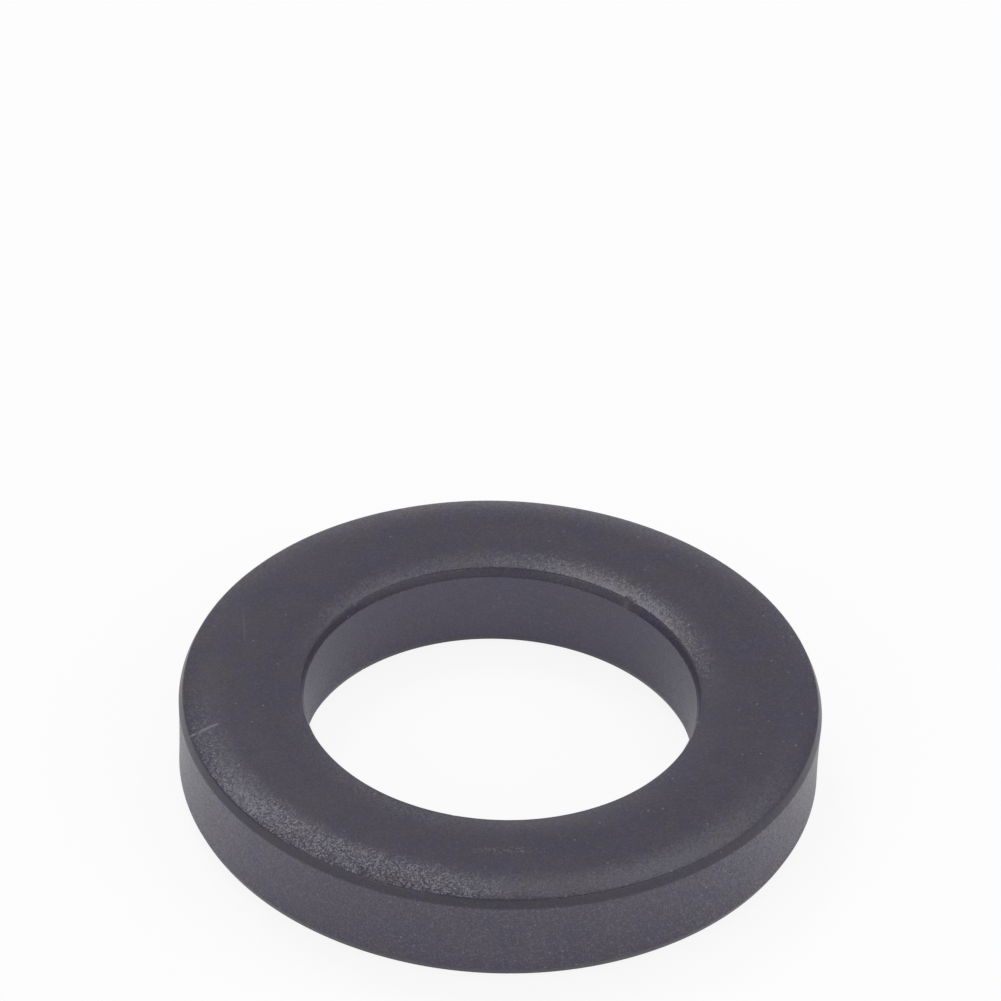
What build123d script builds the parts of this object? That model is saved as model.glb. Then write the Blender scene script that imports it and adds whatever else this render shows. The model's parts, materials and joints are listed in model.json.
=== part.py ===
from build123d import *
import os

# A ferrite toroid core: one ring, pressed from powder and sintered in one piece.
# It lies flat, with its axis along Z and its centre at the origin. Sizes are in millimetres.

# Overall sizes
outside_diameter = 61.0
inside_diameter = 37.2
height = 10.1

# The bevel that the press tool leaves along every edge
bevel_width = 0.38
bevel_height = 0.85

# Both faces are crowned: a flat land runs round the middle, and a shoulder falls away on either side of it
land_width = 2.6
shoulder_drop = 0.60

outer_radius = outside_diameter / 2
bore_radius = inside_diameter / 2
middle_radius = (outer_radius + bore_radius) / 2
half_height = height / 2


def section_quarter(wall_radius, side):
    """Draws the section's upper half on one side, from the land over the shoulder and bevel to mid height.

    side is 1 towards the outside wall and -1 towards the bore.
    """
    land_edge = (middle_radius + side * land_width / 2, half_height)
    bevel_top = (wall_radius - side * bevel_width, half_height - shoulder_drop)
    bevel_foot = (wall_radius, half_height - shoulder_drop - bevel_height)
    Line((middle_radius, half_height), land_edge)
    TangentArc(land_edge, bevel_top, tangent=(side, 0))
    Polyline(bevel_top, bevel_foot, (wall_radius, 0))


# The section is drawn above mid height, mirrored below it, and turned about Z
with BuildPart() as ferrite_ring:
    with BuildSketch(Plane.XZ):
        with BuildLine():
            section_quarter(outer_radius, 1)
            section_quarter(bore_radius, -1)
            mirror(about=Plane.XZ)
        make_face()
    revolve(axis=Axis.Z)

ferrite_ring.part.label = "ferrite_ring"
os.makedirs("parts", exist_ok=True)
export_step(ferrite_ring.part, "parts/ferrite_ring.step")
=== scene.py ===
# %% [markdown]
# # A ferrite toroid core
#
# A ferrite core is a ring pressed from magnetic powder and fired until it is a hard, dark ceramic.
# Wire or cable is wound through its bore. There is no coating and no second piece: all of its character
# is in the section of the ring, in the marks of the press and in the grain of the sintered powder.
# The lesson loads the measured ring, turns a finer one from the same sizes with Geometry Nodes,
# builds the ferrite as a material, and lights it in a small white studio.

# %% Load the frame
import json
import math

import bpy
from mathutils import Matrix, Vector


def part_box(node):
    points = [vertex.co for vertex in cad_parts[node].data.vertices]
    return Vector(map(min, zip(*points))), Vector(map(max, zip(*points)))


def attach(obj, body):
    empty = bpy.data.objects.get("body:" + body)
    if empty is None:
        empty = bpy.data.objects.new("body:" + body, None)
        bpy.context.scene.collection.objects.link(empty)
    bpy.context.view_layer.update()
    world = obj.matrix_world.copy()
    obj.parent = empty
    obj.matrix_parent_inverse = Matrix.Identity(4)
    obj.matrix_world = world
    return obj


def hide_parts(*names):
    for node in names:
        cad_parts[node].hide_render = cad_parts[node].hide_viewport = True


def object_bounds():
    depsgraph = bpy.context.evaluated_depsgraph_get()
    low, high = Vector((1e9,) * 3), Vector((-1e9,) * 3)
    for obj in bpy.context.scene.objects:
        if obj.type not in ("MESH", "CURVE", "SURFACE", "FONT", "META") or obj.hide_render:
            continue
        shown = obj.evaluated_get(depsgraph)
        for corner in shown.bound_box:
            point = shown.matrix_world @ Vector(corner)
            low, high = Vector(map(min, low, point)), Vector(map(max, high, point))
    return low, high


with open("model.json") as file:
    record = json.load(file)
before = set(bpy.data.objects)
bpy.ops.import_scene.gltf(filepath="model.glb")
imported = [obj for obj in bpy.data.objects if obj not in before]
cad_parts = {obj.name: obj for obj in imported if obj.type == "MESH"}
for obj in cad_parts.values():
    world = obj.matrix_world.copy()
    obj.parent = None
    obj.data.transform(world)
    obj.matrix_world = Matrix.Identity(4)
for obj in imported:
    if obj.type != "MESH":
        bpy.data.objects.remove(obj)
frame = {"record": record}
cad_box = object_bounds()
print("CAD box in mm:", [[round(value * 1000, 3) for value in corner] for corner in cad_box])

# %% [markdown]
# ## Sizes
#
# The outside radius, the height and the bore come from the frame, so this ring always fits the measured one.
# The bevels, the land and the shoulders are the press tool's own sizes, written here once, in metres.
# They could be found again by measuring the loaded mesh, but a named size is easier to read and to change.

# %% Sizes of the ring
MM = 0.001

low_corner, high_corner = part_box("ferrite_ring")
mounts = {mount["name"]: mount for mount in frame["record"]["mounts"]}

outer_radius = high_corner.x
height = high_corner.z - low_corner.z
bore_radius = mounts["bore"]["dims"]["r_mm"] * MM
bevel_width = 0.38 * MM
bevel_height = 0.85 * MM
land_width = 2.6 * MM
shoulder_drop = 0.60 * MM
edge_rounding = 0.14 * MM

middle_radius = (outer_radius + bore_radius) / 2
print("in mm: outside radius", outer_radius / MM, "bore radius", bore_radius / MM, "height", height / MM)

# %% [markdown]
# ## Node helpers
#
# Both kinds of node tree in this lesson, for shapes and for materials, are written with the same few helpers.
# Nodes could be added and linked one by one, but the arithmetic would then be lost among the links.
# With helpers, a line of the script reads like the formula that it builds.


# %% Adding nodes
def add(tree, kind, inputs=None, **settings):
    """Adds a node, sets its settings, and gives each named input a value or another node's output."""
    node = tree.nodes.new(kind)
    for name, value in settings.items():
        setattr(node, name, value)
    for name, value in (inputs or {}).items():
        if isinstance(value, bpy.types.NodeSocket):
            tree.links.new(value, node.inputs[name])
        else:
            node.inputs[name].default_value = value
    return node


def joined(tree, pieces):
    """Joins pieces of geometry, in the order that they are given."""
    join = tree.nodes.new("GeometryNodeJoinGeometry")
    for piece in pieces:
        tree.links.new(piece, join.inputs[0])
    return join.outputs[0]


def new_group(name, kind, inputs, outputs):
    """Makes a node group. inputs is a list of (name, socket type, default), and outputs of (name, type)."""
    tree = bpy.data.node_groups.new(name, kind)
    for socket_name, socket_type, default in inputs:
        socket = tree.interface.new_socket(socket_name, in_out="INPUT", socket_type=socket_type)
        if default is not None:
            socket.default_value = default
    for socket_name, socket_type in outputs:
        tree.interface.new_socket(socket_name, in_out="OUTPUT", socket_type=socket_type)
    return tree, tree.nodes.new("NodeGroupInput").outputs, tree.nodes.new("NodeGroupOutput").inputs


print("helpers for nodes:", [helper.__name__ for helper in (add, joined, new_group)])


# %% Arithmetic on numbers
def maths(tree, operation, *values):
    """Does arithmetic on numbers or outputs, and returns the result's output."""
    return add(tree, "ShaderNodeMath", dict(enumerate(values)), operation=operation).outputs[0]


def ramp(tree, value, start, end, low=0.0, top=1.0, shape="SMOOTHSTEP"):
    """Turns a value from low, where it is start, to top, where it is end. It turns softly or as a line."""
    limits = {"Value": value, "From Min": start, "From Max": end, "To Min": low, "To Max": top}
    return add(tree, "ShaderNodeMapRange", limits, interpolation_type=shape).outputs[0]


print("helpers for numbers:", [helper.__name__ for helper in (maths, ramp)])


# %% Arithmetic on vectors
def vectors(tree, operation, *values):
    """Does arithmetic on vectors or outputs, and returns the vector."""
    return add(tree, "ShaderNodeVectorMath", dict(enumerate(values)), operation=operation).outputs[0]


def measured(tree, operation, *values):
    """Gets a number from vectors, such as a length, a distance or a dot product."""
    return add(tree, "ShaderNodeVectorMath", dict(enumerate(values)), operation=operation).outputs["Value"]


def scaled(tree, vector, scale):
    """Makes a vector longer or shorter."""
    return add(tree, "ShaderNodeVectorMath", {0: vector, "Scale": scale}, operation="SCALE").outputs[0]


def point(tree, x=0.0, y=0.0, z=0.0):
    """Makes a vector from three numbers or outputs."""
    return add(tree, "ShaderNodeCombineXYZ", {"X": x, "Y": y, "Z": z}).outputs[0]


def parts_of(tree, vector):
    """Splits a vector or a colour into its X, Y and Z."""
    return add(tree, "ShaderNodeSeparateXYZ", {"Vector": vector}).outputs


print("helpers for vectors:", [helper.__name__ for helper in (vectors, measured, scaled, point, parts_of)])

# %% [markdown]
# ## One quarter of the section
#
# The section of the ring is the same above and below, and nearly the same towards the wall and the bore:
# a flat land, a shoulder that falls away, a bevel and a straight wall. It could be drawn whole, point by
# point, but one quarter, drawn as a node group and used four times, holds each size only once.
# On the real ring no edge is quite sharp, because the cores tumble against each other.
# A small group rounds each corner of the bevel with a short Bezier curve.

# %% Rounded corner
# A handle this share of the way from the corner to the end of the rounding
HANDLE_SHARE = 1 / 3


def make_rounded_corner():
    """Rounds the corner between two straight runs, and puts out where the rounding starts and ends."""
    tree, given, result = new_group(
        "rounded_corner",
        "GeometryNodeTree",
        [
            ("Before", "NodeSocketVector", None),
            ("Corner", "NodeSocketVector", None),
            ("After", "NodeSocketVector", None),
            ("Rounding", "NodeSocketFloat", 0.0),
            ("Steps", "NodeSocketInt", 4),
        ],
        [("Curve", "NodeSocketGeometry"), ("Start", "NodeSocketVector"), ("End", "NodeSocketVector")],
    )
    ends = []
    handles = []
    for neighbour in ("Before", "After"):
        away = vectors(tree, "NORMALIZE", vectors(tree, "SUBTRACT", given[neighbour], given["Corner"]))
        reach = scaled(tree, away, given["Rounding"])
        ends.append(vectors(tree, "ADD", given["Corner"], reach))
        handles.append(vectors(tree, "ADD", given["Corner"], scaled(tree, reach, HANDLE_SHARE)))
    curve = add(
        tree,
        "GeometryNodeCurvePrimitiveBezierSegment",
        {
            "Resolution": given["Steps"],
            "Start": ends[0],
            "Start Handle": handles[0],
            "End Handle": handles[1],
            "End": ends[1],
        },
        mode="POSITION",
    )
    tree.links.new(curve.outputs[0], result["Curve"])
    tree.links.new(ends[0], result["Start"])
    tree.links.new(ends[1], result["End"])
    return tree


rounded_corner = make_rounded_corner()
print("rounded corner has", len(rounded_corner.nodes), "nodes")

# %% The shoulder's curve
SHOULDER_STEPS = 24
PULL_SHARE = 2 / 3


def shoulder_curve(tree, start, end, pull):
    """Draws a parabola. Both its handles lie two thirds of the way from an end to the point that pulls it."""
    handles = []
    for place in (start, end):
        way = vectors(tree, "SUBTRACT", pull, place)
        handles.append(vectors(tree, "ADD", place, scaled(tree, way, PULL_SHARE)))
    places = {"Start": start, "Start Handle": handles[0], "End Handle": handles[1], "End": end}
    return add(
        tree,
        "GeometryNodeCurvePrimitiveBezierSegment",
        {"Resolution": SHOULDER_STEPS, **places},
        mode="POSITION",
    ).outputs[0]


print("shoulder curve has", SHOULDER_STEPS, "steps")

# %% Quarter of the section
SECTION_SIZES = (
    "Half Height",
    "Middle Radius",
    "Bevel Width",
    "Bevel Height",
    "Land Width",
    "Shoulder Drop",
    "Edge Rounding",
    "Section Step",
)


def make_section_quarter():
    """Draws the section's upper half on one side, from land to wall. X is the radius, and Y the height."""
    tree, given, result = new_group(
        "section_quarter",
        "GeometryNodeTree",
        [("Wall Radius", "NodeSocketFloat", 0.0), ("Side", "NodeSocketFloat", 1.0)]
        + [(name, "NodeSocketFloat", 0.0) for name in SECTION_SIZES],
        [("Curve", "NodeSocketGeometry")],
    )
    half_land = maths(tree, "MULTIPLY", maths(tree, "MULTIPLY", given["Land Width"], 0.5), given["Side"])
    land_end = maths(tree, "ADD", given["Middle Radius"], half_land)
    bevel_reach = maths(tree, "MULTIPLY", given["Bevel Width"], given["Side"])
    bevel_start = maths(tree, "SUBTRACT", given["Wall Radius"], bevel_reach)
    shoulder_end = maths(tree, "SUBTRACT", given["Half Height"], given["Shoulder Drop"])
    shoulder_middle = maths(tree, "MULTIPLY", maths(tree, "ADD", land_end, bevel_start), 0.5)

    top_middle = point(tree, given["Middle Radius"], given["Half Height"])
    land_edge = point(tree, land_end, given["Half Height"])
    shoulder_pull = point(tree, shoulder_middle, given["Half Height"])
    bevel_top = point(tree, bevel_start, shoulder_end)
    bevel_end = maths(tree, "SUBTRACT", shoulder_end, given["Bevel Height"])
    bevel_foot = point(tree, given["Wall Radius"], bevel_end)
    wall_middle = point(tree, given["Wall Radius"], 0.0)

    corners = []
    for before, corner, after in (
        (shoulder_pull, bevel_top, bevel_foot),
        (bevel_top, bevel_foot, wall_middle),
    ):
        places = {"Before": before, "Corner": corner, "After": after, "Rounding": given["Edge Rounding"]}
        corners.append(add(tree, "GeometryNodeGroup", places, node_tree=rounded_corner).outputs)

    # The shoulder is level where it leaves the land, and heads for the bevel's corner where it ends
    runs = [shoulder_curve(tree, land_edge, corners[0]["Start"], shoulder_pull)]
    for start, end in (
        (top_middle, land_edge),
        (corners[0]["End"], corners[1]["Start"]),
        (corners[1]["End"], wall_middle),
    ):
        runs.append(add(tree, "GeometryNodeCurvePrimitiveLine", {"Start": start, "End": end}).outputs[0])
    even = {"Curve": joined(tree, runs), "Length": given["Section Step"]}
    stepped = add(tree, "GeometryNodeResampleCurve", even, mode="LENGTH").outputs[0]
    whole = joined(tree, (stepped, corners[0]["Curve"], corners[1]["Curve"]))
    tree.links.new(whole, result["Curve"])
    return tree


section_quarter = make_section_quarter()
print("section quarter has", len(section_quarter.nodes), "nodes")

# %% [markdown]
# ## The whole ring
#
# Four quarters make the section, which is welded into one loop and carried once round a circle. Spinning a
# profile in mesh code would give the same ring, but here every size stays an input that can be changed later.
# That would be a perfect ring, and no pressed part is one. Powder packs a little less in the middle of its
# height and shrinks more in the kiln, so the walls are slightly waisted, and the faces are not quite true.
# Edges lose crumbs while the cores tumble. All of these only take material away, so the ring stays inside
# its measured size. The crumbs are points: most are scattered along the bevels with a fixed seed,
# and the few that anyone would notice are the vertices of the object that the tree is given.

# %% Dents
# Dents have ragged outlines, and are at their full depth out to this share of their size
RAGGED_SIZE = 0.35 * MM
DENT_FLOOR = 0.25


def make_dents():
    """Finds how deep each place is dented by the nearest of some points, each with a size and a depth."""
    tree, given, result = new_group(
        "dents",
        "GeometryNodeTree",
        [("Points", "NodeSocketGeometry", None), ("Raggedness", "NodeSocketFloat", 0.5)],
        [("Depth", "NodeSocketFloat")],
    )
    place = tree.nodes.new("GeometryNodeInputPosition").outputs[0]
    nearest = add(tree, "GeometryNodeSampleNearest", {"Geometry": given["Points"]}, domain="POINT").outputs[0]

    def of_nearest(field, data_type):
        sampled = {"Geometry": given["Points"], "Value": field, "Index": nearest}
        sample = add(tree, "GeometryNodeSampleIndex", sampled, data_type=data_type, domain="POINT")
        return sample.outputs[0]

    def own(name):
        return add(tree, "GeometryNodeInputNamedAttribute", {"Name": name}, data_type="FLOAT").outputs[0]

    centre = of_nearest(place, "FLOAT_VECTOR")
    size = of_nearest(own("dent_size"), "FLOAT")
    depth = of_nearest(own("dent_depth"), "FLOAT")
    distance = measured(tree, "DISTANCE", place, centre)
    ragged = add(tree, "ShaderNodeTexNoise", {"Vector": place, "Scale": 1 / RAGGED_SIZE, "Detail": 1.0})
    wobble = maths(tree, "MULTIPLY", maths(tree, "SUBTRACT", ragged.outputs[0], 0.5), given["Raggedness"])
    share = maths(tree, "ADD", maths(tree, "DIVIDE", distance, size), wobble)
    falloff = ramp(tree, share, DENT_FLOOR, 1.0, 1.0, 0.0)
    tree.links.new(maths(tree, "MULTIPLY", falloff, depth), result["Depth"])
    return tree


dents = make_dents()
print("dents have", len(dents.nodes), "nodes")

# %% Sizes that the ring's tree is given
STEPS_ROUND = 720
CRUMB_SEED = 7

ring_sizes = {
    "Outer Radius": outer_radius,
    "Bore Radius": bore_radius,
    "Height": height,
    "Bevel Width": bevel_width,
    "Bevel Height": bevel_height,
    "Land Width": land_width,
    "Shoulder Drop": shoulder_drop,
    "Edge Rounding": edge_rounding,
    "Section Step": 0.45 * MM,
    "Wall Waist": 0.06 * MM,
    "Face Waviness": 0.03 * MM,
    "Crumb Size": 0.32 * MM,
    "Crumb Depth": 0.025 * MM,
    "Crumbs Per Square Metre": 1.6e5,
}
print("ring tree has", len(ring_sizes), "sizes")

# %% The section, carried once round
WELD_GAP = 0.002 * MM


def section_loop(tree, given, middle, half):
    """Sets two quarters side by side, mirrors them below mid height and welds all four into one loop."""
    shared = {name: given[name] for name in SECTION_SIZES if name in ring_sizes}
    shared["Middle Radius"] = middle
    shared["Half Height"] = half
    quarters = []
    for wall, side in ((given["Outer Radius"], 1.0), (given["Bore Radius"], -1.0)):
        sizes = {"Wall Radius": wall, "Side": side, **shared}
        quarters.append(add(tree, "GeometryNodeGroup", sizes, node_tree=section_quarter).outputs[0])
    upper = joined(tree, quarters)
    lower = add(tree, "GeometryNodeTransform", {"Geometry": upper, "Scale": (1.0, -1.0, 1.0)}).outputs[0]
    edges = add(tree, "GeometryNodeCurveToMesh", {"Curve": joined(tree, (upper, lower))}).outputs[0]
    welded = add(tree, "GeometryNodeMergeByDistance", {"Geometry": edges, "Distance": WELD_GAP}).outputs[0]
    return add(tree, "GeometryNodeMeshToCurve", {"Mesh": welded}).outputs[0]


def turned(tree, given, loop, middle):
    """Carries the loop once round a circle through the middle of the section, with its faces outwards."""
    inward = point(tree, maths(tree, "MULTIPLY", middle, -1.0))
    centred = add(tree, "GeometryNodeTransform", {"Geometry": loop, "Translation": inward}).outputs[0]
    round_trip = {"Resolution": given["Steps Round"], "Radius": middle}
    circle = add(tree, "GeometryNodeCurvePrimitiveCircle", round_trip).outputs[0]
    swept = add(tree, "GeometryNodeCurveToMesh", {"Curve": circle, "Profile Curve": centred}).outputs[0]
    return add(tree, "GeometryNodeFlipFaces", {"Mesh": swept}).outputs[0]


print("section quarters are welded where they are under", WELD_GAP / MM, "mm apart")

# %% What the ring has lost
# A face is part of a wall while the Z of its normal is under this
UPRIGHT_LIMIT = 0.1
# The faces and walls swell and sink over about this distance
SWELL_SIZE = 11 * MM
# Crumbs lie this near a wall, as a share of the bevel's width, and above this share of the wall's height
CRUMB_REACH_IN = 1.2
CRUMB_REACH_DOWN = 0.98
# The least crumb, as a share of the largest in size and in depth
SMALLEST_CRUMB = 0.35
SHALLOWEST_CRUMB = 0.1


def lost_at_waist(tree, given, normal, high, wall_height):
    """The waist is deepest at mid height, ends where the bevel starts, and is only on the two walls."""
    up_wall = maths(tree, "DIVIDE", high, wall_height)
    bow = maths(tree, "MAXIMUM", maths(tree, "SUBTRACT", 1.0, maths(tree, "POWER", up_wall, 2.0)), 0.0)
    level = maths(tree, "ABSOLUTE", parts_of(tree, normal)["Z"])
    upright = maths(tree, "GREATER_THAN", UPRIGHT_LIMIT, level)
    return maths(tree, "MULTIPLY", maths(tree, "MULTIPLY", bow, upright), given["Wall Waist"])


def lost_in_waves(tree, given, place):
    """The faces and walls are a little out of true."""
    slow = {"Vector": place, "Scale": 1 / SWELL_SIZE, "Detail": 1.0}
    swell = add(tree, "ShaderNodeTexNoise", slow).outputs[0]
    return maths(tree, "MULTIPLY", swell, given["Face Waviness"])


def lost_in_crumbs(tree, given, ring, radius, high, wall_height):
    """Crumbs are scattered along the bevels, each with its own size and depth."""
    from_outside = maths(tree, "ABSOLUTE", maths(tree, "SUBTRACT", radius, given["Outer Radius"]))
    from_bore = maths(tree, "ABSOLUTE", maths(tree, "SUBTRACT", radius, given["Bore Radius"]))
    from_wall = maths(tree, "MINIMUM", from_outside, from_bore)
    reach_in = maths(tree, "MULTIPLY", given["Bevel Width"], CRUMB_REACH_IN)
    reach_down = maths(tree, "MULTIPLY", wall_height, CRUMB_REACH_DOWN)
    by_wall = maths(tree, "LESS_THAN", from_wall, reach_in)
    by_face = maths(tree, "GREATER_THAN", high, reach_down)
    scattering = {
        "Mesh": ring,
        "Selection": maths(tree, "MULTIPLY", by_wall, by_face),
        "Density": given["Crumbs Per Square Metre"],
        "Seed": given["Seed"],
    }
    scatter = add(tree, "GeometryNodeDistributePointsOnFaces", scattering, distribute_method="RANDOM")
    points = scatter.outputs["Points"]
    for name, least, most in (
        ("dent_size", SMALLEST_CRUMB, given["Crumb Size"]),
        ("dent_depth", SHALLOWEST_CRUMB, given["Crumb Depth"]),
    ):
        span = {"Min": least, "Max": 1.0, "Seed": given["Seed"]}
        chance = add(tree, "FunctionNodeRandomValue", span, data_type="FLOAT").outputs["Value"]
        stored = {"Geometry": points, "Name": name, "Value": maths(tree, "MULTIPLY", chance, most)}
        points = add(
            tree,
            "GeometryNodeStoreNamedAttribute",
            stored,
            data_type="FLOAT",
            domain="POINT",
        ).outputs[0]
    return add(tree, "GeometryNodeGroup", {"Points": points}, node_tree=dents).outputs[0]


print("in mm: waist", ring_sizes["Wall Waist"] / MM, "largest crumb", ring_sizes["Crumb Size"] / MM)


# %% Ring tree
def make_pressed_ring():
    """Builds the ring from its sizes, and dents it at its crumbs and at the points that it is given."""
    tree, given, result = new_group(
        "pressed_ring",
        "GeometryNodeTree",
        [("Nicks", "NodeSocketGeometry", None)]
        + [(name, "NodeSocketFloat", value) for name, value in ring_sizes.items()]
        + [("Steps Round", "NodeSocketInt", STEPS_ROUND), ("Seed", "NodeSocketInt", CRUMB_SEED)]
        + [("Material", "NodeSocketMaterial", None)],
        [("Geometry", "NodeSocketGeometry")],
    )
    middle = maths(tree, "MULTIPLY", maths(tree, "ADD", given["Outer Radius"], given["Bore Radius"]), 0.5)
    half = maths(tree, "MULTIPLY", given["Height"], 0.5)
    perfect = turned(tree, given, section_loop(tree, given, middle, half), middle)

    # Where each point lies: how far out, how far from mid height, and which way it faces
    place = tree.nodes.new("GeometryNodeInputPosition").outputs[0]
    normal = tree.nodes.new("GeometryNodeInputNormal").outputs[0]
    apart = parts_of(tree, place)
    radius = measured(tree, "LENGTH", point(tree, apart["X"], apart["Y"]))
    high = maths(tree, "ABSOLUTE", apart["Z"])
    edge_height = maths(tree, "ADD", given["Shoulder Drop"], given["Bevel Height"])
    wall_height = maths(tree, "SUBTRACT", half, edge_height)

    waist = lost_at_waist(tree, given, normal, high, wall_height)
    waves = lost_in_waves(tree, given, place)
    crumbs = lost_in_crumbs(tree, given, perfect, radius, high, wall_height)
    nicks = add(tree, "GeometryNodeGroup", {"Points": given["Nicks"]}, node_tree=dents).outputs[0]
    lost = maths(tree, "ADD", maths(tree, "ADD", waist, waves), maths(tree, "ADD", crumbs, nicks))
    push = scaled(tree, normal, maths(tree, "MULTIPLY", lost, -1.0))

    worn = add(tree, "GeometryNodeSetPosition", {"Geometry": perfect, "Offset": push})
    smooth = add(tree, "GeometryNodeSetShadeSmooth", {"Geometry": worn.outputs[0]})
    real = add(tree, "GeometryNodeRealizeInstances", {"Geometry": smooth.outputs[0]})
    finish = {"Geometry": real.outputs[0], "Material": given["Material"]}
    finished = add(tree, "GeometryNodeSetMaterial", finish)
    tree.links.new(finished.outputs[0], result["Geometry"])
    return tree


pressed_ring = make_pressed_ring()
print("ring tree has", len(pressed_ring.nodes), "nodes")

# %% [markdown]
# ## The ferrite
#
# Fired ferrite is almost black, with a cast that drifts between blue-violet and brown where the kiln's
# air reached it differently. Close up it is all grain. One big noise texture could stand for all of this, but
# it would look the same everywhere. So the finish is built from small groups: one says where on the ring
# a point lies, one makes the grain, one the drifting colour, one the stray bright specks, and one a scratch
# between two points. Each puts out masks, values or directions only, and the shader stays in the material.

# %% Where on the ring
# How far above and below its edge a zone starts and ends
BEVEL_EDGE_SOFTNESS = (0.02 * MM, -0.08 * MM)
WALL_EDGE_SOFTNESS = 0.05 * MM


def make_ring_zones():
    """Says how much a point belongs to shoulders, bevels and walls, from its radius and height."""
    tree, given, result = new_group(
        "ring_zones",
        "ShaderNodeTree",
        [("Vector", "NodeSocketVector", None)],
        [
            ("Shoulder", "NodeSocketFloat"),
            ("Bevel", "NodeSocketFloat"),
            ("Wall", "NodeSocketFloat"),
            ("Bore Side", "NodeSocketFloat"),
        ],
    )
    apart = parts_of(tree, given["Vector"])
    radius = measured(tree, "LENGTH", point(tree, apart["X"], apart["Y"]))
    high = maths(tree, "ABSOLUTE", apart["Z"])
    bevel_top = height / 2 - shoulder_drop
    bevel_foot = bevel_top - bevel_height
    below_face = ramp(tree, high, *(bevel_top + softness for softness in BEVEL_EDGE_SOFTNESS))
    wall = ramp(tree, high, bevel_foot + WALL_EDGE_SOFTNESS, bevel_foot - WALL_EDGE_SOFTNESS)
    off_middle = maths(tree, "ABSOLUTE", maths(tree, "SUBTRACT", radius, middle_radius))
    shoulder = ramp(tree, off_middle, land_width / 2, (outer_radius - bore_radius) / 2 - bevel_width)
    on_face = maths(tree, "SUBTRACT", 1.0, below_face)
    above_wall = maths(tree, "SUBTRACT", 1.0, wall)
    tree.links.new(maths(tree, "MULTIPLY", shoulder, on_face), result["Shoulder"])
    tree.links.new(maths(tree, "MULTIPLY", below_face, above_wall), result["Bevel"])
    tree.links.new(wall, result["Wall"])
    tree.links.new(maths(tree, "LESS_THAN", radius, middle_radius), result["Bore Side"])
    return tree


ring_zones = make_ring_zones()
print("ring zones:", [socket.name for socket in ring_zones.interface.items_tree])

# %% [markdown]
# ### Grain
#
# The surface of sintered ferrite is packed with crystals and pressed granules, each tilted its own way,
# so that some flash and others stay dark. A bump made from noise alone gives soft worms instead of crystals.
# Voronoi cells are nearer the real thing: every cell is one crystal, its rounded height feeds the bump,
# and its random colour picks the pale ones and says which way each facet leans.

# %% Crystals
# Crystals make this share of the height, and noise the rest
CRYSTAL_SHARE = 0.7


def make_sintered_grain():
    """Makes crystals of a given size: their height, a noise over them, and a random pick and tilt each."""
    tree, given, result = new_group(
        "sintered_grain",
        "ShaderNodeTree",
        [("Vector", "NodeSocketVector", None), ("Grain Size", "NodeSocketFloat", 0.3 * MM)],
        [
            ("Height", "NodeSocketFloat"),
            ("Light", "NodeSocketFloat"),
            ("Pick", "NodeSocketFloat"),
            ("Tilt", "NodeSocketVector"),
        ],
    )
    scale = maths(tree, "DIVIDE", 1.0, given["Grain Size"])
    even_noise = {"Vector": given["Vector"], "Scale": scale, "Detail": 2.0, "Roughness": 0.6}
    noise = add(tree, "ShaderNodeTexNoise", even_noise).outputs[0]
    cells = add(tree, "ShaderNodeTexVoronoi", {"Vector": given["Vector"], "Scale": scale}).outputs
    rounded = maths(tree, "MULTIPLY", maths(tree, "SUBTRACT", 1.0, cells["Distance"]), CRYSTAL_SHARE)
    uneven = maths(tree, "MULTIPLY", noise, 1.0 - CRYSTAL_SHARE)
    tree.links.new(maths(tree, "ADD", uneven, rounded), result["Height"])
    tree.links.new(noise, result["Light"])
    tree.links.new(parts_of(tree, cells["Color"])["X"], result["Pick"])
    tree.links.new(vectors(tree, "SUBTRACT", cells["Color"], (0.5, 0.5, 0.5)), result["Tilt"])
    return tree


sintered_grain = make_sintered_grain()
print("grain has", len(sintered_grain.nodes), "nodes")

# %% [markdown]
# ### Drifting colour
#
# In the kiln, air and heat reach one side of a core more than another, and the cast of the ceramic drifts
# over a few millimetres. It could be painted, but two slow noises do it anywhere on the ring: one for the
# cast and one for the tone. They read different places of the same noise, so they don't follow each other.

# %% Kiln drift
DRIFT_EDGES = (0.36, 0.64)
DRIFT_PLACES = {"Warm": (0.0, 0.0, 0.0), "Dark": (0.31, 0.17, 0.53)}


def make_kiln_drift():
    """Makes two slow masks: where the cast turns warm, and where the tone is a little darker."""
    tree, given, result = new_group(
        "kiln_drift",
        "ShaderNodeTree",
        [("Vector", "NodeSocketVector", None), ("Patch Size", "NodeSocketFloat", 5 * MM)],
        [(name, "NodeSocketFloat") for name in DRIFT_PLACES],
    )
    scale = maths(tree, "DIVIDE", 1.0, given["Patch Size"])
    for name, offset in DRIFT_PLACES.items():
        place = vectors(tree, "ADD", given["Vector"], offset)
        slow = {"Vector": place, "Scale": scale, "Detail": 3.0, "Roughness": 0.55}
        noise = add(tree, "ShaderNodeTexNoise", slow).outputs[0]
        tree.links.new(ramp(tree, noise, *DRIFT_EDGES), result[name])
    return tree


kiln_drift = make_kiln_drift()
print("kiln drift puts out:", list(DRIFT_PLACES))

# %% [markdown]
# ### Specks and scratches
#
# A core picks up pale dust, and it is scratched where it rubbed against another. Specks could be small balls
# of mesh, but they are flat, so a mask is enough: a share of the cells of a loose grid shows one dot each.
# A scratch is a mask too, of how near a point is to a straight line, broken up by noise.

# %% Stray specks
# A speck is solid out to this share of its size
SPECK_CORE = 0.4


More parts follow.
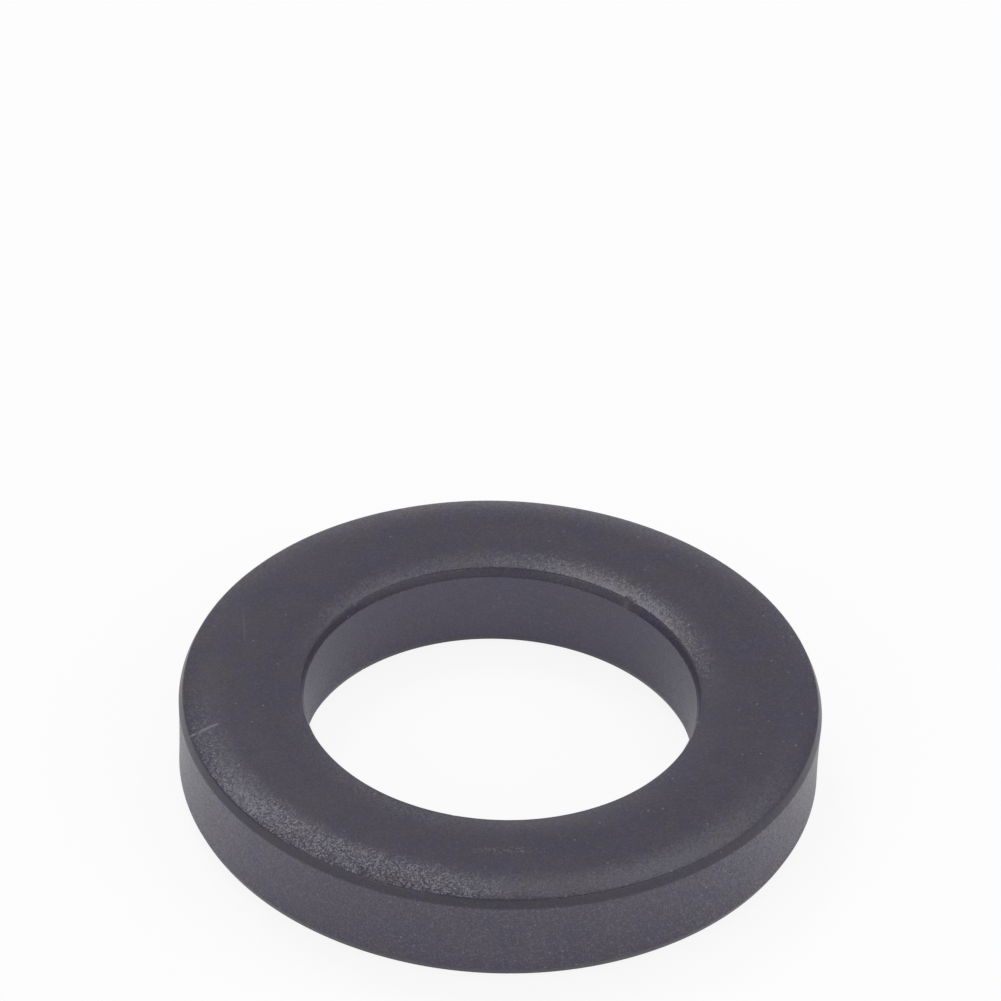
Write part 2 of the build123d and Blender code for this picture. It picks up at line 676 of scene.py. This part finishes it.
def make_stray_specks():
    """Scatters small round specks: a share of the cells of a grid of points shows one."""
    tree, given, result = new_group(
        "stray_specks",
        "ShaderNodeTree",
        [
            ("Vector", "NodeSocketVector", None),
            ("Spacing", "NodeSocketFloat", 1.5 * MM),
            ("Speck Size", "NodeSocketFloat", 0.15 * MM),
            ("Share", "NodeSocketFloat", 0.6),
        ],
        [("Mask", "NodeSocketFloat")],
    )
    scale = maths(tree, "DIVIDE", 1.0, given["Spacing"])
    cells = add(tree, "ShaderNodeTexVoronoi", {"Vector": given["Vector"], "Scale": scale}).outputs
    reach = maths(tree, "DIVIDE", given["Speck Size"], given["Spacing"])
    spot = ramp(tree, cells["Distance"], maths(tree, "MULTIPLY", reach, SPECK_CORE), reach, 1.0, 0.0)
    chance = parts_of(tree, cells["Color"])["Y"]
    shown = maths(tree, "LESS_THAN", chance, given["Share"])
    tree.links.new(maths(tree, "MULTIPLY", spot, shown), result["Mask"])
    return tree


stray_specks = make_stray_specks()
print("specks have", len(stray_specks.nodes), "nodes")

# %% One scratch
# A scratch is solid out to this share of its width, and a noise of this size breaks it up
SCRATCH_CORE = 0.3
BREAK_SIZE = 0.5 * MM
BREAK_EDGES = (0.32, 0.46)


def make_scratch():
    """Marks a thin broken line between two points."""
    tree, given, result = new_group(
        "scratch",
        "ShaderNodeTree",
        [
            ("Vector", "NodeSocketVector", None),
            ("Start", "NodeSocketVector", None),
            ("End", "NodeSocketVector", None),
            ("Width", "NodeSocketFloat", 0.15 * MM),
        ],
        [("Mask", "NodeSocketFloat")],
    )
    along = vectors(tree, "SUBTRACT", given["End"], given["Start"])
    to_point = vectors(tree, "SUBTRACT", given["Vector"], given["Start"])
    run = measured(tree, "DOT_PRODUCT", to_point, along)
    length_squared = measured(tree, "DOT_PRODUCT", along, along)
    share = add(tree, "ShaderNodeClamp", {"Value": maths(tree, "DIVIDE", run, length_squared)}).outputs[0]
    distance = measured(tree, "DISTANCE", to_point, scaled(tree, along, share))
    core = maths(tree, "MULTIPLY", given["Width"], SCRATCH_CORE)
    line = ramp(tree, distance, core, given["Width"], 1.0, 0.0)
    uneven = {"Vector": given["Vector"], "Scale": 1 / BREAK_SIZE, "Detail": 1.0}
    breaks = add(tree, "ShaderNodeTexNoise", uneven).outputs[0]
    kept = ramp(tree, breaks, *BREAK_EDGES, shape="LINEAR")
    tree.links.new(maths(tree, "MULTIPLY", line, kept), result["Mask"])
    return tree


scratch = make_scratch()
print("groups:", sorted(group.name for group in bpy.data.node_groups))


# %% Where this ring is marked
def on_ring(degrees, radius, z):
    """A point of the ring, from its angle round from +X, its radius and its height in millimetres."""
    angle = math.radians(degrees)
    return Vector((radius * math.cos(angle), radius * math.sin(angle), z)) * MM


# Where each scratch, and the painted glint line at the end, starts and ends on the upper face, seen from
# above, its width,
# and how solid it is: 1 is a clean line, and 0 only bares scattered crystals
SCRATCHES_AND_GLINTS = (
    (on_ring(196.9, 30.0, 0.0), on_ring(195.7, 27.4, 0.0), 0.24 * MM, 1.0),
    (on_ring(198.6, 29.9, 0.0), on_ring(196.6, 28.9, 0.0), 0.12 * MM, 0.5),
    (on_ring(160.0, 26.6, 0.0), on_ring(168.0, 25.2, 0.0), 0.08 * MM, 0.4),
    # The last is no scratch but a painted glint: a line of sparkle on the land near the bore, painted as
    # bared pale crystals
    (on_ring(266.0, 24.2, 0.0), on_ring(280.0, 24.1, 0.0), 0.60 * MM, 0.0),
)

# The outer shoulder is roughest here, where its crystals stand out most, and calms down between two distances
ROUGH_PATCH = on_ring(244.0, 29.2, 4.6)
ROUGH_PATCH_EDGES = (5 * MM, 15 * MM)
print(len(SCRATCHES_AND_GLINTS), "scratches, rough patch at", [round(value / MM, 1) for value in ROUGH_PATCH], "mm")

# %% [markdown]
# ### The finish
#
# The groups come together in one material. The colour is built up in layers: the fired ceramic
# with its drift, the pale crystals on it, then dust, scratches and a line of painted glints, the burnish of
# the walls, where the die rubbed the powder, and last a painted shade on the bevels, for the dim light that
# they reflect. Gloss could come from a roughness map, but on ferrite the facets catch the light, so the
# roughness stays plain and each crystal leans its normal.

# %% Colours of the ferrite
GRAIN_SIZE = 0.15 * MM
PATCH_SIZE = 5 * MM
COOL_CAST = (0.045, 0.038, 0.078)
WARM_CAST = (0.056, 0.044, 0.067)
DARK_TONE = (0.03, 0.03, 0.036)
PALE_CRYSTAL = (0.18, 0.17, 0.21)
# Pale colour of the dust specks and scratches, and of the painted glint line
DUST_AND_GLINT = (0.22, 0.21, 0.225)
BURNISHED = (0.12, 0.11, 0.17)
# Painted shade: the bevels' colour is darkened towards this, for the dim light that they face and reflect
BEVEL_PAINTED_SHADE = (0.015, 0.014, 0.02)


def mix_colours(tree, share, first, second):
    """Mixes two colours or outputs."""
    node = add(tree, "ShaderNodeMix", {0: share}, data_type="RGBA")
    for index, colour in ((6, first), (7, second)):
        if isinstance(colour, bpy.types.NodeSocket):
            tree.links.new(colour, node.inputs[index])
        else:
            node.inputs[index].default_value = (*colour, 1.0)
    return node.outputs[2]


def plus_share(tree, base, mask, more):
    """A value that is base everywhere, and more is added to it where the mask is 1."""
    return maths(tree, "ADD", base, maths(tree, "MULTIPLY", mask, more))


print("crystals are", GRAIN_SIZE / MM, "mm across, and pale ones have colour", PALE_CRYSTAL)

# %% Fired ceramic and its crystals
DARK_TONE_SHARE = 0.25
LIGHT_NOISE_EDGES = (0.5, 0.8)
PALE_PICK_EDGES = (0.7, 1.0)
PALE_PICK_SHARE = 0.5
CRYSTALS_SHOWING = 0.34
CRYSTALS_MORE_ON_WALL = 0.35


def fired_colour(tree, place, zones, grain):
    """The drifting cast of the ceramic, with its pale crystals, which show more on the walls."""
    sized = {"Vector": place, "Patch Size": PATCH_SIZE}
    drift = add(tree, "ShaderNodeGroup", sized, node_tree=kiln_drift).outputs
    cast = mix_colours(tree, drift["Warm"], COOL_CAST, WARM_CAST)
    toned = mix_colours(tree, maths(tree, "MULTIPLY", drift["Dark"], DARK_TONE_SHARE), cast, DARK_TONE)
    clear = ramp(tree, grain["Light"], *LIGHT_NOISE_EDGES, shape="LINEAR")
    pale = ramp(tree, grain["Pick"], *PALE_PICK_EDGES, shape="LINEAR")
    salt = plus_share(tree, clear, pale, PALE_PICK_SHARE)
    showing = plus_share(tree, CRYSTALS_SHOWING, zones["Wall"], CRYSTALS_MORE_ON_WALL)
    return mix_colours(tree, maths(tree, "MULTIPLY", salt, showing), toned, PALE_CRYSTAL)


print("colour shows", CRYSTALS_SHOWING, "of the pale crystals, and more on the walls")

# %% Dust, scratches, painted glints, the press's marks and the painted shade on the bevels
# The higher this power, the fewer crystals a scratch bares
BARE_CRYSTALS = 7.0
MARK_STRENGTH = 0.7
BURNISH = 0.10
BURNISH_MORE_IN_BORE = 0.38
# The bevels take this share of painted shade, and this much less in the bore
BEVEL_SHADE_SHARE = 0.4
BEVEL_SHADE_LESS_IN_BORE = 0.35


def marks_mask(tree, place, grain):
    """Where dust lies, and where the upper face has scratches, bared crystals and a line of painted glints.
    """
    specks = add(tree, "ShaderNodeGroup", {"Vector": place}, node_tree=stray_specks).outputs[0]
    seen_from_above = vectors(tree, "MULTIPLY", place, (1.0, 1.0, 0.0))
    crystals = maths(tree, "POWER", grain["Pick"], BARE_CRYSTALS)
    scratches_and_glints = 0.0
    for start, end, width, solid in SCRATCHES_AND_GLINTS:
        ends = {"Vector": seen_from_above, "Start": start, "End": end, "Width": width}
        line = add(tree, "ShaderNodeGroup", ends, node_tree=scratch).outputs[0]
        filled = plus_share(tree, solid, crystals, 1.0 - solid)
        scratches_and_glints = maths(tree, "MAXIMUM", scratches_and_glints, maths(tree, "MULTIPLY", line, filled))
    upper = maths(tree, "GREATER_THAN", parts_of(tree, place)["Z"], 0.0)
    return maths(tree, "MAXIMUM", specks, maths(tree, "MULTIPLY", scratches_and_glints, upper))


def burnish_and_painted_shade(tree, zones, colour):
    """The walls are burnished, most of all in the bore, and the bevels get a painted shade, darkest on the
    outer ones.
    """
    burnish = plus_share(tree, BURNISH, zones["Bore Side"], BURNISH_MORE_IN_BORE)
    # Painted shade: the bevels' colour is darkened, less in the bore, because they reflect the dim
    # surroundings
    shade_spared = maths(tree, "MULTIPLY", zones["Bore Side"], BEVEL_SHADE_LESS_IN_BORE)
    shade_share = maths(tree, "SUBTRACT", BEVEL_SHADE_SHARE, shade_spared)
    wall_colour = mix_colours(tree, burnish, colour, BURNISHED)
    painted_bevels = mix_colours(tree, maths(tree, "MULTIPLY", zones["Bevel"], shade_share), colour, BEVEL_PAINTED_SHADE)
    return mix_colours(tree, zones["Wall"], painted_bevels, wall_colour)


print("a scratch or a speck covers", MARK_STRENGTH, "of the ferrite's own colour")

# %% Leaning facets
# How strongly the crystals lean the normal, and how much more on each zone of the ring
RELIEF_DEPTH = 0.018 * MM
LEAN_EVERYWHERE = 0.09
LEAN_ON_SHOULDER = 0.05
LEAN_ON_ROUGH_PATCH = 0.34
LEAN_ON_WALL = 0.2


def leaning_facets(tree, place, zones, grain):
    """Each crystal is a flat facet that leans its own way, on a surface that is itself a little uneven."""
    uneven = {"Strength": 0.5, "Distance": RELIEF_DEPTH, "Height": grain["Height"]}
    relief = add(tree, "ShaderNodeBump", uneven).outputs[0]
    rough_patch = ramp(tree, measured(tree, "DISTANCE", place, ROUGH_PATCH), *ROUGH_PATCH_EDGES, 1.0, 0.0)
    shoulder_lean = plus_share(tree, LEAN_ON_SHOULDER, rough_patch, LEAN_ON_ROUGH_PATCH)
    exposed = plus_share(tree, LEAN_EVERYWHERE, zones["Shoulder"], shoulder_lean)
    exposed = plus_share(tree, exposed, zones["Wall"], LEAN_ON_WALL)
    lean = scaled(tree, grain["Tilt"], exposed)
    return vectors(tree, "NORMALIZE", vectors(tree, "ADD", relief, lean))


print("facets lean most near", [round(value / MM, 1) for value in ROUGH_PATCH], "mm")


# %% Ferrite material
def make_ferrite():
    """Puts the groups together in one dark, slightly glossy material."""
    material = bpy.data.materials.new("sintered_ferrite")
    material.use_nodes = True
    tree = material.node_tree
    tree.nodes.clear()
    place = tree.nodes.new("ShaderNodeTexCoord").outputs["Object"]
    zones = add(tree, "ShaderNodeGroup", {"Vector": place}, node_tree=ring_zones).outputs
    sized = {"Vector": place, "Grain Size": GRAIN_SIZE}
    grain = add(tree, "ShaderNodeGroup", sized, node_tree=sintered_grain).outputs

    colour = fired_colour(tree, place, zones, grain)
    # Dust, scratches and a line of painted glints are mixed into the colour
    marks = maths(tree, "MULTIPLY", marks_mask(tree, place, grain), MARK_STRENGTH)
    colour = burnish_and_painted_shade(tree, zones, mix_colours(tree, marks, colour, DUST_AND_GLINT))
    facets = leaning_facets(tree, place, zones, grain)
    shader = add(
        tree,
        "ShaderNodeBsdfPrincipled",
        {"Base Color": colour, "Normal": facets, "Roughness": 0.29, "IOR": 1.55},
    )
    output = tree.nodes.new("ShaderNodeOutputMaterial")
    tree.links.new(shader.outputs[0], output.inputs["Surface"])
    return material


ferrite = make_ferrite()
print("ferrite has", len(ferrite.node_tree.nodes), "nodes")

# %% [markdown]
# ## Turning the ring
#
# On the real ring a few edges are chipped deeply enough to be seen. They could be cut with booleans, but a
# boolean on so fine a mesh is slow and leaves ragged faces. The tree already knows how to dent the ring at
# points, so the object starts as a handful of vertices, one for each nick, with its size and depth as
# attributes. The modifier builds the ring round them, and its result is then kept as a plain mesh.

# %% The visible nicks
# For each nick: degrees round from +X, radius, height above mid height, width and depth, in millimetres
NICKS = (
    (50.0, 18.85, 4.30, 0.9, 0.12),
    (270.7, 30.3, 4.10, 0.5, 0.10),
    (243.0, 30.3, 4.05, 0.8, 0.06),
)


def make_nick_points():
    """Makes a mesh of loose vertices, one for each nick, with its size and depth as attributes."""
    mesh = bpy.data.meshes.new("nicks")
    mesh.from_pydata([on_ring(degrees, radius, z) for degrees, radius, z, size, depth in NICKS], [], [])
    for name, column in (("dent_size", 3), ("dent_depth", 4)):
        attribute = mesh.attributes.new(name, "FLOAT", "POINT")
        for index, nick in enumerate(NICKS):
            attribute.data[index].value = nick[column] * MM
    return mesh


nick_points = make_nick_points()
print("nicks:", len(nick_points.vertices))


# %% The ring as a mesh
def turn_ring():
    """Runs the tree on the nick points, and returns the result as an object with a plain mesh."""
    blank = bpy.data.objects.new("ferrite_core", nick_points)
    bpy.context.scene.collection.objects.link(blank)
    modifier = blank.modifiers.new("pressed_ring", "NODES")
    modifier.node_group = pressed_ring
    values = {**ring_sizes, "Steps Round": STEPS_ROUND, "Seed": CRUMB_SEED, "Material": ferrite}
    for item in pressed_ring.interface.items_tree:
        if item.item_type == "SOCKET" and item.in_out == "INPUT" and item.name in values:
            modifier[item.identifier] = values[item.name]
    graph = bpy.context.evaluated_depsgraph_get()
    mesh = bpy.data.meshes.new_from_object(blank.evaluated_get(graph))
    blank.modifiers.clear()
    blank.data = mesh
    mesh.name = "ferrite_core"
    return blank


core = turn_ring()
print("ring faces", len(core.data.polygons), "materials", [m.name for m in core.data.materials])

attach(core, "root")
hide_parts("ferrite_ring")

# %% [markdown]
# ## The studio
#
# The ring lies on a pale table that glows a little, which lights its walls from below, in dim surroundings
# that are brighter low down. Spotlights would give a dark, glossy thing only hard points of light. It shows
# its shape by the surfaces that it reflects, so the six lamps are broad: two soft boxes high behind, stronger
# at the left, give the shoulders their sheen, and four reflectors lower down light the walls and the front.

# %% Floor
FLOOR_HALF = 1.5
FLOOR_DROP = 0.02 * MM
FLOOR_COLOUR = (0.85, 0.85, 0.85, 1.0)
FLOOR_GLOW = 0.24
FLOOR_SHOWN_WHITE = 0.85
WHITE = (1.0, 1.0, 1.0, 1.0)


def floor_material():
    """A pale matt table that glows a little. The camera sees it mostly as white, so its shadow is faint."""
    material = bpy.data.materials.new("pale_floor")
    material.use_nodes = True
    tree = material.node_tree
    tree.nodes.clear()
    seen = tree.nodes.new("ShaderNodeLightPath").outputs["Is Camera Ray"]
    diffuse = add(tree, "ShaderNodeBsdfDiffuse", {"Color": FLOOR_COLOUR})
    glow = add(tree, "ShaderNodeEmission", {"Color": WHITE, "Strength": FLOOR_GLOW})
    lit = add(tree, "ShaderNodeAddShader", {0: diffuse.outputs[0], 1: glow.outputs[0]})
    white = add(tree, "ShaderNodeEmission", {"Color": WHITE, "Strength": 1.0})
    white_share = maths(tree, "MULTIPLY", seen, FLOOR_SHOWN_WHITE)
    shown = add(tree, "ShaderNodeMixShader", {0: white_share, 1: lit.outputs[0], 2: white.outputs[0]})
    output = tree.nodes.new("ShaderNodeOutputMaterial")
    tree.links.new(shown.outputs[0], output.inputs["Surface"])
    return material


def make_floor():
    """Lays the table just under the lowest point of the ring."""
    z = cad_box[0][2] - FLOOR_DROP
    corners = [(x * FLOOR_HALF, y * FLOOR_HALF, z) for x, y in ((-1, -1), (1, -1), (1, 1), (-1, 1))]
    mesh = bpy.data.meshes.new("floor")
    mesh.from_pydata(corners, [], [(0, 1, 2, 3)])
    mesh.materials.append(floor_material())
    floor = bpy.data.objects.new("floor", mesh)
    bpy.context.scene.collection.objects.link(floor)
    return floor


floor = make_floor()
print("floor is at", round(floor.data.vertices[0].co.z / MM, 3), "mm")

# %% Surroundings
LOW_GLOW = 0.8
HIGH_GLOW = 0.31
GLOW_EDGES = (0.2, 0.45)


def make_surroundings():
    """Lights the ring dimly from all round, more from low down, and shows the camera plain white."""
    world = bpy.data.worlds.new("studio")
    bpy.context.scene.world = world
    world.use_nodes = True
    tree = world.node_tree
    tree.nodes.clear()
    seen = tree.nodes.new("ShaderNodeLightPath").outputs["Is Camera Ray"]
    direction = tree.nodes.new("ShaderNodeTexCoord").outputs["Generated"]
    glow = ramp(tree, parts_of(tree, direction)["Z"], *GLOW_EDGES, LOW_GLOW, HIGH_GLOW, shape="LINEAR")
    dim = add(tree, "ShaderNodeBackground", {"Color": WHITE, "Strength": glow})
    white = add(tree, "ShaderNodeBackground", {"Color": WHITE, "Strength": 1.0})
    shown = add(tree, "ShaderNodeMixShader", {0: seen, 1: dim.outputs[0], 2: white.outputs[0]})
    output = tree.nodes.new("ShaderNodeOutputWorld")
    tree.links.new(shown.outputs[0], output.inputs["Surface"])


make_surroundings()
print("surroundings glow", LOW_GLOW, "low down and", HIGH_GLOW, "overhead")

# %% Soft boxes
# For each lamp: its name, degrees round from +X, degrees up, distance, width and length in metres, brightness
SOFT_BOXES = (
    ("box_back_left", 121, 60, 0.8, 0.28, 0.32, 4.4),
    ("box_back_right", 57, 60, 0.8, 0.28, 0.32, 1.9),
    ("reflector_front_left", 225, 30, 0.9, 0.70, 0.30, 1.7),
    ("reflector_front_right", 315, 30, 0.9, 0.70, 0.30, 1.3),
    ("reflector_right", 0, 30, 0.9, 0.75, 0.34, 0.8),
    ("reflector_back", 90, 33, 0.9, 0.80, 0.30, 0.2),
)


def add_soft_box(name, round_degrees, up_degrees, distance, width, length, brightness):
    """Adds a rectangular lamp that faces the ring. At brightness 1 it is as bright as plain white."""
    light = bpy.data.lights.new(name, "AREA")
    light.shape = "RECTANGLE"
    light.size = width
    light.size_y = length
    light.energy = brightness * width * length * math.pi
    box = bpy.data.objects.new(name, light)
    bpy.context.scene.collection.objects.link(box)
    turn = math.radians(round_degrees)
    lift = math.radians(up_degrees)
    away = Vector((math.cos(turn) * math.cos(lift), math.sin(turn) * math.cos(lift), math.sin(lift)))
    box.location = away * distance
    box.rotation_euler = away.to_track_quat("Z", "Y").to_euler()
    box.visible_camera = False
    return box


for soft_box in SOFT_BOXES:
    lamp = add_soft_box(*soft_box)
    print(lamp.name, "gives", round(lamp.data.energy, 3), "W")

# %% [markdown]
# ### Camera
#
# The ring is looked at from the front and about 36 degrees up, through a long lens, so that its circles
# become calm ellipses. The camera could be aimed at the ring with a constraint, but the ring is to lie low
# in the view. So the camera's place is worked out from where the ring's middle is to be seen.

# %% Camera
CAMERA_ELEVATION = math.radians(36.49)
CAMERA_ROLL = math.radians(-2.20)
CAMERA_DISTANCE = 455.3 * MM
LENS_LENGTH = 171.87
SENSOR_WIDTH = 36.0
# How far the ring's middle lies to the right of the view's axis, and how far above it
RING_FROM_AXIS = (-0.097 * MM, -21.471 * MM)


def add_camera():
    """Places the camera so that the ring's middle is seen off the view's axis by RING_FROM_AXIS."""
    right = Vector((1.0, 0.0, 0.0))
    up = Vector((0.0, math.sin(CAMERA_ELEVATION), math.cos(CAMERA_ELEVATION)))
    ahead = Vector((0.0, math.cos(CAMERA_ELEVATION), -math.sin(CAMERA_ELEVATION)))
    rolled_right = math.cos(CAMERA_ROLL) * right - math.sin(CAMERA_ROLL) * up
    rolled_up = math.sin(CAMERA_ROLL) * right + math.cos(CAMERA_ROLL) * up
    lens = bpy.data.cameras.new("camera")
    lens.sensor_width = SENSOR_WIDTH
    lens.lens = LENS_LENGTH
    lens.clip_start = 0.01
    lens.clip_end = 20.0
    camera = bpy.data.objects.new("camera", lens)
    bpy.context.scene.collection.objects.link(camera)
    axes = Matrix((rolled_right, rolled_up, -ahead)).transposed()
    sideways = RING_FROM_AXIS[0] * rolled_right + RING_FROM_AXIS[1] * rolled_up
    place = -(sideways + CAMERA_DISTANCE * ahead)
    camera.matrix_world = Matrix.Translation(place) @ axes.to_4x4()
    bpy.context.scene.camera = camera
    return place


camera_place = add_camera()
bpy.context.scene.view_settings.view_transform = "Standard"
print("camera is at", [round(value, 3) for value in camera_place], "m")
